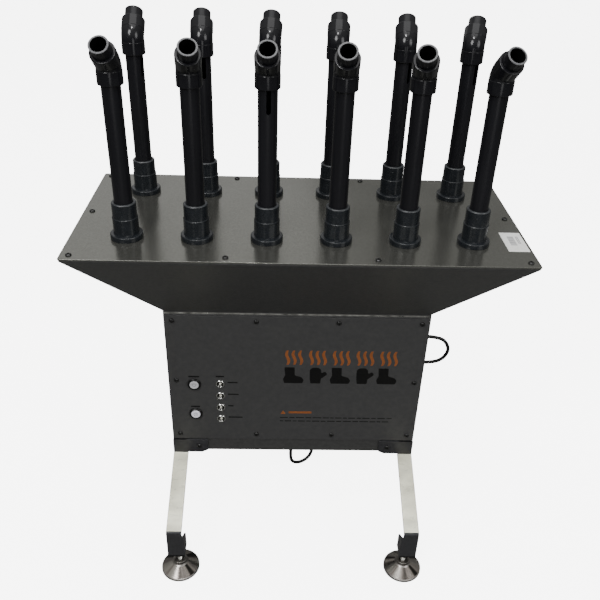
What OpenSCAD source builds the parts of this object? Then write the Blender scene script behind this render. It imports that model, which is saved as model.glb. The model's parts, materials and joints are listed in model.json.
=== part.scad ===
// Twelve-port boot and glove dryer: a fan and heater in a sheet-metal box blow warm air through a
// tapered plenum into twelve upright pipes, each with a swivelling 45 degree outlet elbow.
// Millimetres, +Z up, front towards -Y, origin on the floor under the middle of the top plate.

/* [Stand] */
// Height of the box's underside above the floor
clearance = 207; // [190:1:230]
// Distance from the box's front face forward to the outer face of a leg's upright
leg_reach = 177; // [150:1:200]
// Width of a leg's sloping strip
leg_w = 34; // [30:1:36]
// Width of a leg's foot bracket, below the strip
bracket_w = 38; // [38:1:48]
// Height of a leg's upright above the floor at its upper bend
leg_bend_z = 128; // [118:1:136]
// Diameter of a levelling foot's pad
pad_d = 85; // [76:1:92]
// Height of a leg's bottom flange above the floor, with the foot screwed in
flange_z = 52; // [48:1:58]
// How far a foot screws out
foot_travel = 25; // [10:1:30]

/* [Box] */
// Width of the blower box
box_w = 556; // [540:2:580]
// Depth of the blower box
box_d = 130; // [130:2:150]
// Height of the blower box
box_h = 376; // [370:1:390]
// Thickness of the sheet metal
sheet = 2; // [1.5:0.5:2.5]
// Height of the rail under the front cover, which the leg tabs cross
rail_h = 36; // [34:1:40]

/* [Plenum and top plate] */
// Height of the plenum's sloping part
plenum_h = 184; // [170:1:200]
// Width of the top plate
plate_w = 856; // [840:2:880]
// Depth of the top plate
plate_d = 398; // [390:2:410]
// Thickness of the top plate
plate_t = 3; // [2:0.5:4]

/* [Pipes and outlets] */
// Distance between neighbouring ports along a row
port_pitch = 129; // [125:1:131]
// Distance between the front and back rows
row_gap = 214; // [200:2:220]
// Outside diameter of the pipes, 1 inch nominal
pipe_d = 33.4; // [33.4]
// Bore of the pipes
pipe_bore = 26.6; // [26.6]
// Height of the elbow's lower rim above the top plate
elbow_rim = 280; // [240:1:320]
// Distance from the elbow's bend to each of its rims
elbow_leg = 33; // [32:0.5:36]
// Outside diameter of the elbow's sockets
elbow_d = 43.5; // [42:0.5:46]
// How far an outlet stub stands out of its elbow
stub_out = 20; // [15:1:30]
// Swing of each front outlet from straight ahead, positive to the right, in degrees
front_turns = [-6, 7, 0, -4, -10, 12]; // [-180:1:180]
// Direction of each back outlet, 180 being straight back, in degrees
back_turns = [180, 182, 176, 176, 175, 164]; // [-180:1:360]
// Direction that the split of each pipe faces, 0 being straight ahead, front row then back row
split_turns = [150, 200, 8, 170, 190, 160, 65, 14, 180, 175, 38, 34]; // [0:1:360]

/* [Controls] */
// Diameter of a push button's cap
cap_d = 20; // [19:0.5:22]
// Diameter of a push button's bezel
button_bezel_d = 30; // [29:0.5:34]
// Travel of a push button
button_travel = 2.5; // [1.5:0.5:3]
// Diameter of an indicator's bezel
lamp_d = 19; // [17:0.5:20]
// Distance between neighbouring indicators
lamp_pitch = 33; // [28:1:36]

/* [Mains cord] */
// Diameter of the mains cord
cord_d = 8.5; // [8.5]

/* [Hidden] */
function numbered(name) = [for (i = [1:12]) str(name, i < 10 ? "0" : "", i)];
CORNERS = ["front_left", "front_right", "rear_left", "rear_right"];

$fn = 48;
run_gap = 0.05;        // radial clearance of a running or sliding fit
loose_gap = 0.35;      // radial clearance of a free fit
far = 400;             // longer than any cut needs to be

// Heights
box_top = clearance + box_h;
lip_h = 7;             // upright collar of the plenum, on top of the box
rim_h = 3;             // upright edge of the plenum, under the top plate
plenum_z = box_top + lip_h;
rim_z = plenum_z + plenum_h;
plate_z = rim_z + rim_h;
plate_top = plate_z + plate_t;
bend_z = plate_top + elbow_rim + elbow_leg;

// Box and cover
front_y = -box_d / 2;
rear_y = box_d / 2;
cover_t = 2;
cover_y = front_y - cover_t;
cover_w = box_w - 4;
cover_z = clearance + rail_h;
cover_top = box_top - 2;
box_flange = 30;       // width of the turned-in edge round the box's front opening
throat_w = box_w - 44; // opening between the box and the plenum
throat_d = box_d - 40;
rim_flange = 30;       // width of the plenum's turned-in edge under the top plate

// Ports
port_x = [for (i = [0:5]) (i - 2.5) * port_pitch];
ports = concat([for (x = port_x) [x, -row_gap / 2]], [for (x = port_x) [x, row_gap / 2]]);
outlet_turns = concat(front_turns, back_turns);
collar_d = 60;
collar_h = 10;
adapter_low_d = 47;
adapter_top_d = 44.5;
adapter_step = 42;     // height of the adapter's step above the plate
adapter_h = 71;
pipe_seat = 22;        // height of the pipe's lower end above the plate
shank_d = 41;
shank_l = 24;
nut_h = 10;
socket_depth = 26;
pipe_short = 0.5;      // how far a pipe ends short of its elbow's seat, so that the elbow turns
split_w = 8;           // width of the split in a pipe's upper end
split_below = 37;      // how far the split reaches below the elbow's rim
chamfer = 2;
knuckle = 0.6;          // how far the elbow's ball stands out of its sockets

// Screws, size M6
screw_r = 3;
screw_head_r = 5.5;
screw_head_h = 3.3;
screw_l = 9;
plate_screws = [for (x = [-411, -136, 136, 411], s = [-1, 1]) [x, s * (plate_d / 2 - 16)]];
plate_side_screws = [[-411, 0], [411, 0]];
cover_screw_x = [-260, -86, 86, 260];
cover_screws = concat(
    [for (x = cover_screw_x) [x, cover_top - 13]],
    [for (x = [-260, 260]) [x, cover_z + 170]],
    [for (x = cover_screw_x) [x, cover_z + 16]]);

// Legs and feet
leg_t = 4;
tab_w = 80;
tab_low = 4;           // how far the tab reaches below the box
tab_screw_x = box_w / 2 - 60;
tab_screw_z = clearance + 16;
upright_y = front_y - leg_reach;
flange_l = 36;
gusset_l = 34;
gusset_front_h = 64;
gusset_rear_h = 38;
gusset_hole_r = 4;
gusset_hole_z = 30;    // above the flange's underside
stud_r = 6;
stud_x = box_w / 2 - 24;
stud_y = upright_y + 15.5;
stud_spare = 9;        // how far a stud stands above its upper nut with the foot screwed out
pad_rim = 6;
pad_cone_h = 20;
pad_hub_r = 15;
pad_hub_h = 30;
ball_r = 9;
jam_nut_r = 11;
jam_nut_h = 10;
stud_top = flange_z + leg_t + jam_nut_h + foot_travel + stud_spare;

// Controls, on the cover's left
button_x = -221.5;
power_z = 402;
timer_z = 319;
lamp_x = -165;
lamp_z = [for (i = [0:3]) 404 - i * lamp_pitch];
bezel_h = 3.5;
barrel_r = 13;
barrel_l = 16;
switch_l = 12;
switch_w = 24;
cap_r = cap_d / 2;
cap_out = 1;
spring_room = 7;       // room behind a cap when it is pressed home
cap_l = barrel_l + bezel_h + cap_out - 1 - button_travel - spring_room;
lamp_h = 2.5;
lamp_barrel_r = 6.5;
lamp_barrel_l = 10;
bulb_r = 3;

// Fan and heater
fan_x = 70;
fan_z = 395;
fan_front = -16;       // front face of the fan housing
fan_w = 64;
scroll_r = 112;
outlet_w = 82;
inlet_r = 62;
wheel_r = 86;
wheel_w = 50;
wheel_y = fan_front + 6;   // back disc of the wheel
wheel_plate = 3;
wheel_ring = 18;       // width of the wheel's front ring
hub_r = 16;
hub_l = 24;
blade_n = 30;
blade_w = 16;
blade_t = 2;
blade_lean = 35;
shaft_r = 5;
shaft_back = 34;       // how far the shaft reaches into the motor from the back disc
motor_r = 42;
motor_l = 40;
motor_back = 6;        // thickness of the motor behind its shaft
lug_w = 16;            // mounting lugs round the motor's face
lug_t = 4;
heater_w = 300;
heater_d = 100;
heater_h = 34;
heater_z = plenum_z + 2;
rod_r = 4;
rod_gap = 30;          // distance between neighbouring heater rods
fin_r = 12;
fin_t = 1.5;
fin_step = 20;
board_w = 150;
board_z = 270;
board_y = -34;
board_t = 2;
slot_n = 11;
slot_w = 6;
slot_l = 120;
slot_step = 12;

// Mains cord: hand-chosen route from the gland under the box, round the loop below the box, up the
// rear wall, out past its right side and back over the intake slots, then down to the coil behind
// the stand
cord_r = cord_d / 2;
cord_sides = 10;
cord_y = rear_y + 8;
gland = [-3, 44];
gland_l = 42;
cord_route = [
    [-3, 44, clearance - gland_l], [-3, 44, 135], [-2.7, 44.2, 86], [0.8, 45.9, 66], [11, 51.3, 54],
    [25, 58.5, 50], [39, 65.7, 54], [49.2, 71.1, 66], [53, 73, 88], [53, 73, 140], [53, 73, 185],
    [54.5, 73, 222], [67, 73, 257], [92, 73, 290], [125, 73, 322], [170, 73, 351], [220, 73, 365.5],
    [260, 73, 366], [326, 73, 367], [353, 73, 378], [364, 73, 403], [353, 73, 428], [328, 73, 439],
    [265, 73, 446], [188, 73, 466.5], [140, 73, 471], [95, 73, 472], [50, 73, 471], [16, 73, 461],
    [-10, 73, 438], [-20, 73, 400], [-20, 73, 300], [-20, 73, 225], [-20, 84, 160], [-20, 106, 105],
    [-18, 122, 62], [-13, 140, 30], [-5, 162, 11], [3, 186, 5], [5.25, 212, cord_r]];
clip_spots = [[[53, 185], 0], [[260, 366], 90], [[95, 472], 90], [[-20, 300], 0]];
coil_c = [-48, 212];
coil_r = 49;           // middle of the coil's two turns side by side
coil_in = coil_r - cord_d;
coil_out = coil_r + cord_d;
coil_h = 2 * cord_d;
plug_turn = 120;       // place round the coil where the cord leaves for the plug
plug_start = 22;
sleeve_l = 25;
plug_r = 15;
plug_l = 42;

// ---------- shared shapes ----------

// Rectangle with rounded corners, centred
module rounded_rect(w, d, r) {
    square([w - 2 * r, d], center = true);
    square([w, d - 2 * r], center = true);
    for (x = [-1, 1], y = [-1, 1]) translate([x * (w / 2 - r), y * (d / 2 - r)]) circle(r);
}

// Four-sided frustum, w1 by d1 at z = 0 and w2 by d2 at z = h
module frustum(w1, d1, w2, d2, h) {
    function ring(w, d, z) = [for (p = [[-1, -1], [1, -1], [1, 1], [-1, 1]])
        [p[0] * w / 2, p[1] * d / 2, z]];
    polyhedron(points = concat(ring(w1, d1, 0), ring(w2, d2, h)),
        faces = concat([[0, 1, 2, 3], [7, 6, 5, 4]],
            [for (i = [0:3]) [i, i + 4, (i + 1) % 4 + 4, (i + 1) % 4]]));
}

// Cylinder along +Y, starting at the origin
module along_y(r, l) {
    rotate([-90, 0, 0]) cylinder(r = r, h = l);
}

// Button-head screw, its seat at z = 0 and its shank going down
module screw() {
    difference() {
        union() {
            rotate_extrude() polygon([[0, 0], [screw_head_r, 0], [screw_head_r, 1],
                [screw_head_r * 0.78, 2.5], [screw_head_r * 0.45, screw_head_h], [0, screw_head_h]]);
            translate([0, 0, -screw_l]) cylinder(r = screw_r, h = screw_l);
        }
        translate([0, 0, screw_head_h - 1.8]) cylinder(r = 2.3, h = 3, $fn = 6);
    }
}

// ---------- sheet-metal shell ----------

module top_plate() {
    color("dimgray") translate([0, 0, plate_z]) linear_extrude(plate_t) difference() {
        rounded_rect(plate_w, plate_d, 4);
        for (p = ports) translate(p) circle(shank_d / 2 + loose_gap);
        for (p = concat(plate_screws, plate_side_screws)) translate(p) circle(screw_r + loose_gap);
    }
}

module plenum_hopper() {
    top_w = plate_w - 2;
    top_d = plate_d - 2;
    color([0.2, 0.2, 0.21]) difference() {
        union() {
            translate([0, 0, plenum_z]) frustum(box_w, box_d, top_w, top_d, plenum_h);
            translate([-box_w / 2, front_y, box_top]) cube([box_w, box_d, lip_h]);
            translate([-top_w / 2, -top_d / 2, rim_z]) cube([top_w, top_d, rim_h]);
        }
        translate([0, 0, plenum_z])
            frustum(box_w - 2 * sheet, box_d - 2 * sheet, top_w - 2 * sheet, top_d - 2 * sheet,
                plenum_h);
        translate([-throat_w / 2, -throat_d / 2, box_top - 1])
            cube([throat_w, throat_d, lip_h + 2]);
        translate([-top_w / 2 + rim_flange, -top_d / 2 + rim_flange, rim_z - 1])
            cube([top_w - 2 * rim_flange, top_d - 2 * rim_flange, rim_h + 2]);
        for (p = concat(plate_screws, plate_side_screws)) translate([p[0], p[1], rim_z - 1])
            cylinder(r = screw_r + run_gap, h = rim_h + 2);
    }
}

module blower_box() {
    color([0.2, 0.2, 0.21]) difference() {
        translate([-box_w / 2, front_y, clearance]) cube([box_w, box_d, box_h]);
        translate([-box_w / 2 + sheet, front_y + sheet, clearance + sheet])
            cube([box_w - 2 * sheet, box_d - 2 * sheet, box_h - 2 * sheet]);
        // front opening, closed by the cover
        translate([-box_w / 2 + box_flange, front_y - 1, cover_z + box_flange])
            cube([box_w - 2 * box_flange, sheet + 2, cover_top - cover_z - 2 * box_flange]);
        // throat into the plenum
        translate([-throat_w / 2, -throat_d / 2, box_top - sheet - 1])
            cube([throat_w, throat_d, sheet + 2]);
        // air intake slots in the rear wall, behind the fan's eye
        for (i = [0:slot_n - 1])
            translate([fan_x, rear_y - sheet - 1, fan_z + (i - (slot_n - 1) / 2) * slot_step])
                rotate([-90, 0, 0]) linear_extrude(sheet + 2) rounded_rect(slot_l, slot_w, slot_w / 2 - 0.1);
        for (p = cover_screws) translate([p[0], front_y - 1, p[1]])
            along_y(screw_r + run_gap, sheet + 2);
        for (s = [-1, 1]) translate([s * tab_screw_x, front_y - 1, tab_screw_z])
            along_y(screw_r + run_gap, sheet + 2);
        for (s = [-1, 1]) translate([s * tab_screw_x, rear_y - sheet - 1, tab_screw_z])
            along_y(screw_r + run_gap, sheet + 2);
        translate([gland[0], gland[1], clearance - 1]) cylinder(r = 8, h = sheet + 2);
    }
}

module front_cover() {
    color([0.19, 0.19, 0.2]) difference() {
        translate([-cover_w / 2, cover_y, cover_z]) cube([cover_w, cover_t, cover_top - cover_z]);
        for (z = [power_z, timer_z]) translate([button_x, cover_y - 1, z])
            along_y(barrel_r + loose_gap, cover_t + 2);
        for (z = lamp_z) translate([lamp_x, cover_y - 1, z])
            along_y(lamp_barrel_r + loose_gap, cover_t + 2);
        for (p = cover_screws) translate([p[0], cover_y - 1, p[1]])
            along_y(screw_r + loose_gap, cover_t + 2);
    }
}

module button_head_screws() {
    color([0.08, 0.08, 0.08]) {
        for (p = concat(plate_screws, plate_side_screws))
            translate([p[0], p[1], plate_top]) screw();
        for (p = cover_screws) translate([p[0], cover_y, p[1]]) rotate([90, 0, 0]) screw();
        for (s = [-1, 1]) translate([s * tab_screw_x, front_y - leg_t, tab_screw_z])
            rotate([90, 0, 0]) screw();
        for (s = [-1, 1]) translate([s * tab_screw_x, rear_y + leg_t, tab_screw_z])
            rotate([-90, 0, 0]) screw();
    }
}

// ---------- pipes and outlets ----------

// Flanged adapter: a collar on the plate, a socket for the pipe, and a shank through the plate
module port_adapter() {
    difference() {
        rotate_extrude() polygon([
            [0, -plate_t - shank_l], [shank_d / 2, -plate_t - shank_l], [shank_d / 2, 0],
            [collar_d / 2 - 1, 0], [collar_d / 2, 1], [collar_d / 2, collar_h - 2],
            [collar_d / 2 - 2, collar_h], [adapter_low_d / 2, collar_h],
            [adapter_low_d / 2 - 0.4, adapter_step - 1], [adapter_top_d / 2, adapter_step],
            [adapter_top_d / 2 - 0.3, adapter_h - 1.5], [adapter_top_d / 2 - 1.8, adapter_h],
            [0, adapter_h]]);
        translate([0, 0, pipe_seat]) cylinder(d = pipe_d + 2 * run_gap, h = adapter_h);
        translate([0, 0, -plate_t - shank_l - 1]) cylinder(d = pipe_bore, h = adapter_h);
    }
}

module port_adapters() {
    color([0.13, 0.14, 0.16]) for (p = ports) translate([p[0], p[1], plate_top]) port_adapter();
}

module port_locknuts() {
    color([0.12, 0.12, 0.13]) for (p = ports) translate([p[0], p[1], plate_z - nut_h]) difference() {
        cylinder(r = 29, h = nut_h, $fn = 8);
        translate([0, 0, -1]) cylinder(d = shank_d + 2 * run_gap, h = nut_h + 2);
    }
}

// Upright pipe with a split upper end, which makes it grip the elbow
module drying_pipes() {
    split_z = elbow_rim - split_below;
    pipe_top = elbow_rim + socket_depth - pipe_short;
    color([0.09, 0.09, 0.1]) for (i = [0:11]) translate([ports[i][0], ports[i][1], plate_top])
        rotate(split_turns[i]) difference() {
            translate([0, 0, pipe_seat]) cylinder(d = pipe_d, h = pipe_top - pipe_seat);
            translate([0, 0, pipe_seat - 1]) cylinder(d = pipe_bore, h = pipe_top);
            translate([0, -pipe_d, split_z]) along_y(split_w / 2, pipe_d);
            translate([-split_w / 2, -pipe_d, split_z]) cube([split_w, pipe_d, pipe_top]);
        }
}

// Places a child whose bend is at the origin and whose outlet faces -Y onto port i
module at_outlet(i) {
    translate([ports[i][0], ports[i][1], bend_z]) rotate(outlet_turns[i]) children();
}

// Points from the bend at the origin along the outlet's axis
module outlet_axis() {
    rotate([45, 0, 0]) children();
}

module elbow(i) {
    body_r = elbow_d / 2;
    socket_r = pipe_d / 2 + run_gap;
    color([0.09, 0.09, 0.1]) at_outlet(i) difference() {
        union() {
            sphere(r = body_r + knuckle);
            for (lean = [180, 45]) rotate([lean, 0, 0]) {
                cylinder(r = body_r, h = elbow_leg - chamfer);
                translate([0, 0, elbow_leg - chamfer])
                    cylinder(r1 = body_r, r2 = body_r - chamfer, h = chamfer);
            }
        }
        sphere(r = pipe_bore / 2 + knuckle);
        for (lean = [180, 45]) rotate([lean, 0, 0]) {
            cylinder(d = pipe_bore, h = elbow_leg);
            translate([0, 0, elbow_leg - socket_depth]) cylinder(r = socket_r, h = far);
        }
    }
}

module nozzle(i) {
    color([0.1, 0.1, 0.11]) at_outlet(i) outlet_axis() translate([0, 0, elbow_leg - socket_depth])
        difference() {
            cylinder(d = pipe_d, h = socket_depth + stub_out);
            translate([0, 0, -1]) cylinder(d = pipe_bore, h = socket_depth + stub_out + 2);
        }
}

// ---------- legs and levelling feet ----------

// Mirrors a child made for the front left corner to corner i
module at_corner(i) {
    mirror([i % 2, 0, 0]) mirror([0, floor(i / 2), 0]) children();
}

// Bent plate: a tab on the box, a strip sloping down and out, an upright, and a foot flange
module leg(i) {
    slope = (clearance - tab_low - leg_bend_z) / (leg_reach - leg_t);
    drop = leg_t * sqrt(1 + slope * slope);
    tab_z = clearance - tab_low;
    left = -box_w / 2;
    color([0.16, 0.16, 0.18]) at_corner(i) {
        difference() {
            union() {
                translate([left, 0, 0]) rotate([90, 0, 90]) linear_extrude(leg_w) polygon([
                    [front_y, cover_z - 2], [front_y - leg_t, cover_z - 2],
                    [front_y - leg_t, tab_z], [upright_y, leg_bend_z], [upright_y, flange_z],
                    [upright_y + flange_l, flange_z], [upright_y + flange_l, flange_z + leg_t],
                    [upright_y + leg_t, flange_z + leg_t],
                    [upright_y + leg_t, leg_bend_z - drop + leg_t * slope],
                    [front_y, tab_z - drop + leg_t * slope]]);
                translate([left, front_y, 0]) rotate([90, 0, 0]) linear_extrude(leg_t) polygon([
                    [0, tab_z], [tab_w - 14, tab_z], [tab_w, tab_z + 7], [tab_w, cover_z - 2],
                    [0, cover_z - 2]]);
                translate([left, upright_y, flange_z]) {
                    cube([bracket_w, leg_t, gusset_front_h]);
                    cube([bracket_w, flange_l, leg_t]);
                    translate([bracket_w - leg_t, 0, 0]) rotate([90, 0, 90]) linear_extrude(leg_t) polygon([
                        [0, 0], [gusset_l, 0], [gusset_l, gusset_rear_h], [0, gusset_front_h]]);
                }
            }
            translate([-tab_screw_x, front_y - leg_t - 1, tab_screw_z])
                along_y(screw_r + loose_gap, leg_t + 2);
            translate([-stud_x, stud_y, flange_z - 1])
                cylinder(r = stud_r + loose_gap, h = leg_t + 2);
            translate([left + bracket_w - leg_t - 1, upright_y + gusset_l / 2, flange_z + gusset_hole_z])
                rotate([0, 90, 0]) cylinder(r = gusset_hole_r, h = leg_t + 2);
        }
    }
}

module foot_pad(i) {
    color("lightgray") at_corner(i) translate([-stud_x, stud_y, 0]) difference() {
        rotate_extrude() polygon([[0, 0], [pad_d / 2 - 1, 0], [pad_d / 2, 1], [pad_d / 2, pad_rim],
            [pad_hub_r + 3, pad_cone_h], [pad_hub_r, pad_cone_h + 2], [pad_hub_r, pad_hub_h],
            [0, pad_hub_h]]);
        translate([0, 0, pad_hub_h - ball_r]) sphere(r = ball_r + loose_gap);
        translate([0, 0, pad_hub_h - ball_r]) cylinder(r = ball_r - 1, h = far);
    }
}

module foot_stud(i) {
    color("silver") at_corner(i) translate([-stud_x, stud_y, 0]) {
        translate([0, 0, pad_hub_h - ball_r]) sphere(r = ball_r);
        translate([0, 0, pad_hub_h - ball_r]) cylinder(r = stud_r, h = stud_top - pad_hub_h + ball_r);
    }
}

module foot_jam_nuts() {
    color("silver") for (i = [0:3], z = [flange_z - jam_nut_h, flange_z + leg_t])
        at_corner(i) translate([-stud_x, stud_y, z]) difference() {
            rotate(30) cylinder(r = jam_nut_r, h = jam_nut_h, $fn = 6);
            translate([0, 0, -1]) cylinder(r = stud_r + run_gap, h = jam_nut_h + 2);
        }
}

// ---------- controls ----------

module button_cap(z) {
    color("white") translate([button_x, cover_y - bezel_h - cap_out, z]) {
        rotate([-90, 0, 0]) cylinder(r1 = cap_r - 1, r2 = cap_r, h = 1);
        translate([0, 1, 0]) along_y(cap_r, cap_l);
    }
}

// Bezel, threaded barrel and switch block of each push button
module button_bezels() {
    color([0.07, 0.07, 0.07]) for (z = [power_z, timer_z]) translate([button_x, cover_y, z])
        difference() {
            union() {
                translate([0, -bezel_h, 0]) along_y(button_bezel_d / 2 - 1, 1);
                translate([0, 1 - bezel_h, 0]) along_y(button_bezel_d / 2, bezel_h - 1);
                along_y(barrel_r, barrel_l);
                translate([-switch_w / 2, barrel_l, -switch_w / 2]) cube([switch_w, switch_l, switch_w]);
            }
            translate([0, -bezel_h - 1, 0]) along_y(cap_r + loose_gap, barrel_l + bezel_h + 1);
        }
}

// Dished bright bezel with a barrel behind the cover
module indicator_bezels() {
    color("silver") for (z = lamp_z) translate([lamp_x, cover_y, z]) rotate([90, 0, 0])
        rotate_extrude() polygon([[bulb_r + run_gap, -lamp_barrel_l], [lamp_barrel_r, -lamp_barrel_l],
            [lamp_barrel_r, 0], [lamp_d / 2, 0], [lamp_d / 2, lamp_h - 1], [lamp_d / 2 - 1, lamp_h],
            [lamp_d / 2 - 2, lamp_h], [bulb_r + 1.5, -1], [bulb_r + run_gap, -1]]);
}

module indicator_lamps() {
    color("whitesmoke") for (z = lamp_z) translate([lamp_x, cover_y, z]) {
        sphere(r = bulb_r);
        along_y(bulb_r, lamp_barrel_l);
    }
}

// ---------- fan, heater and electronics ----------

// Outline of the fan housing, seen from the front: a round scroll with an upward outlet
module scroll_outline(grow) {
    circle(r = scroll_r + grow);
    translate([scroll_r - outlet_w - grow, 0])
        square([outlet_w + 2 * grow, box_top - sheet - fan_z]);
}

module blower_housing() {
    color("gray") translate([fan_x, fan_front, fan_z]) difference() {
        translate([0, fan_w, 0]) rotate([90, 0, 0]) linear_extrude(fan_w) scroll_outline(0);
        translate([0, fan_w - sheet, 0]) rotate([90, 0, 0]) linear_extrude(fan_w - 2 * sheet)
            intersection() {
                scroll_outline(-sheet);
                translate([-far, -far]) square([2 * far, far + box_top - sheet - fan_z - 0.01]);
            }
        translate([scroll_r - outlet_w + sheet, sheet, 100])
            cube([outlet_w - 2 * sheet, fan_w - 2 * sheet, 200]);
        translate([0, fan_w / 2, 0]) along_y(inlet_r, fan_w);
        translate([0, -1, 0]) along_y(shaft_r + 3, fan_w / 2);
    }
}

// Forward-curved fan wheel with its shaft
module impeller() {
    color("darkgray") translate([fan_x, wheel_y, fan_z]) {
        along_y(wheel_r, wheel_plate);
        along_y(hub_r, hub_l);
        translate([0, -shaft_back, 0]) along_y(shaft_r, shaft_back + wheel_plate);
        translate([0, wheel_w, 0]) rotate([90, 0, 0]) linear_extrude(wheel_plate + 1) difference() {
            circle(r = wheel_r);
            circle(r = wheel_r - wheel_ring);
        }
        for (i = [0:blade_n - 1]) rotate([0, i * 360 / blade_n, 0])
            translate([wheel_r - wheel_ring / 2, 0, 0]) rotate([0, blade_lean, 0])
                translate([-blade_w / 2, 1, -blade_t / 2]) cube([blade_w, wheel_w - 2, blade_t]);
    }
}

module blower_motor() {
    color("dimgray") translate([fan_x, fan_front - motor_l, fan_z]) difference() {
        union() {
            along_y(motor_r, motor_l);
            for (a = [0:90:270]) rotate([0, a, 0])
                translate([motor_r - 2, motor_l - lug_t, -lug_w / 2]) cube([lug_w, lug_t, lug_w]);
        }
        translate([0, motor_back, 0]) along_y(shaft_r + run_gap, motor_l);
    }
}

// Finned heater rods between two end brackets, standing on the plenum's floor flange
module heater_element() {
    color("silver") {
        for (s = [-1, 1]) translate([s * heater_w / 2 - sheet / 2, -heater_d / 2, heater_z])
            cube([sheet, heater_d, heater_h]);
        for (y = [-rod_gap, 0, rod_gap]) translate([-heater_w / 2, y, heater_z + heater_h / 2 + 1])
            rotate([0, 90, 0]) {
                cylinder(r = rod_r, h = heater_w);
                for (x = [fin_step / 2:fin_step:heater_w - fin_step / 2]) translate([0, 0, x])
                    cylinder(r = fin_r, h = fin_t);
            }
    }
}

// Circuit board on a bracket at the box's left wall, with relays, a transformer and a terminal block
module control_board() {
    color("darkgreen") translate([-box_w / 2 + sheet, board_y, board_z]) {
        cube([board_w, board_t, board_w]);
        translate([0, board_t, 0]) {
            cube([14, 12, board_w]);
            for (z = [12, 50, 88]) translate([30, 0, z]) cube([28, 22, 22]);
            translate([80, 0, 20]) cube([50, 36, 44]);
            translate([78, 0, 100]) cube([60, 14, 14]);
        }
    }
}

// ---------- mains cord ----------

module strain_relief() {
    color([0.06, 0.06, 0.06]) translate([gland[0], gland[1], clearance]) {
        translate([0, 0, sheet]) cylinder(r = 12, h = 5, $fn = 6);
        translate([0, 0, -1]) cylinder(r = 7.9, h = sheet + 2);
        translate([0, 0, -5]) cylinder(r = 11.5, h = 5);
        translate([0, 0, -gland_l]) cylinder(r1 = cord_r + 0.8, r2 = 8, h = gland_l - 5);
    }
}

// Smooth curve through the route, two steps for each pair of points
function ends(i) = cord_route[max(0, min(len(cord_route) - 1, i))];
function smooth(a, b, c, d, t) =
    0.5 * (2 * b + (c - a) * t + (2 * a - 5 * b + 4 * c - d) * t * t
        + (3 * b - a - 3 * c + d) * t * t * t);
cord_path = concat(
    [for (i = [0:len(cord_route) - 2], t = [0, 0.5])
        smooth(ends(i - 1), ends(i), ends(i + 1), ends(i + 2), t)],
    [cord_route[len(cord_route) - 1]]);

// Sweep of a ring along a path: each ring's axes are carried on from the last one's
function unit(v) = v / norm(v);
function heading(path, i) = unit(path[min(len(path) - 1, i + 1)] - path[max(0, i - 1)]);
function carried(path, i) = i == 0
    ? unit(cross(heading(path, 0), [0, 1, 0]))
    : let (h = heading(path, i), s = carried(path, i - 1)) unit(s - (s * h) * h);

module tube_along(path, r, sides) {
    n = len(path);
    points = [for (i = [0:n - 1])
        let (h = heading(path, i), s = carried(path, i), u = cross(h, s))
        for (k = [0:sides - 1]) path[i] + r * (cos(k * 360 / sides) * s + sin(k * 360 / sides) * u)];
    faces = concat(
        [[for (k = [0:sides - 1]) sides - 1 - k]],
        [for (i = [0:n - 2], k = [0:sides - 1]) let (a = i * sides, b = (k + 1) % sides)
            [a + k, a + b, a + b + sides, a + k + sides]],
        [[for (k = [0:sides - 1]) (n - 1) * sides + k]]);
    polyhedron(points = points, faces = faces, convexity = 10);
}

module power_cord() {
    color([0.05, 0.05, 0.05]) tube_along(cord_path, cord_r, cord_sides);
}

module cord_coil() {
    color([0.05, 0.05, 0.05]) translate([coil_c[0], coil_c[1], 0]) rotate_extrude()
        translate([coil_in, 0]) square([coil_out - coil_in, coil_h]);
}

// Moulded plug lying beside the coil
module power_plug() {
    color([0.07, 0.07, 0.07]) translate([coil_c[0], coil_c[1], 0]) rotate(plug_turn)
        translate([coil_r + cord_r, plug_start, plug_r]) {
            rotate([-90, 0, 0]) cylinder(r1 = cord_r + 0.8, r2 = 9, h = sleeve_l);
            translate([0, sleeve_l, 0]) rotate([-90, 0, 0]) cylinder(r1 = 12, r2 = plug_r, h = 12);
            translate([0, sleeve_l + 12, 0]) along_y(plug_r, plug_l - 12);
            for (x = [-6.3, 6.3]) translate([x - 0.75, sleeve_l + plug_l, 0]) cube([1.5, 17, 6.3]);
            translate([0, sleeve_l + plug_l, -6]) along_y(2.4, 19);
        }
}

// Saddle clips that hold the cord on the rear wall
module cord_clips() {
    color([0.1, 0.1, 0.1]) for (c = clip_spots)
        translate([c[0][0], rear_y, c[0][1]]) rotate([0, c[1], 0]) difference() {
            translate([-8, 0, -6]) cube([16, 15, 12]);
            translate([0, cord_y - rear_y, -far / 2]) cylinder(r = cord_r + loose_gap, h = far);
        }
}

// ---------- nodes ----------

top_plate();
plenum_hopper();
blower_box();
front_cover();
port_adapters();
port_locknuts();
drying_pipes();
for (i = [0:11]) {
    elbow(i);
    nozzle(i);
}
for (i = [0:3]) {
    leg(i);
    foot_pad(i);
    foot_stud(i);
}
foot_jam_nuts();
button_head_screws();
button_cap(power_z);  // power_button
button_cap(timer_z);  // timer_button
button_bezels();
indicator_bezels();
indicator_lamps();
blower_housing();
impeller();
blower_motor();
heater_element();
control_board();
strain_relief();
power_cord();
cord_coil();
power_plug();
cord_clips();
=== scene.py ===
import json
import math

import bmesh
import bpy
from mathutils import Matrix, Vector
from mathutils.geometry import tessellate_polygon


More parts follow.
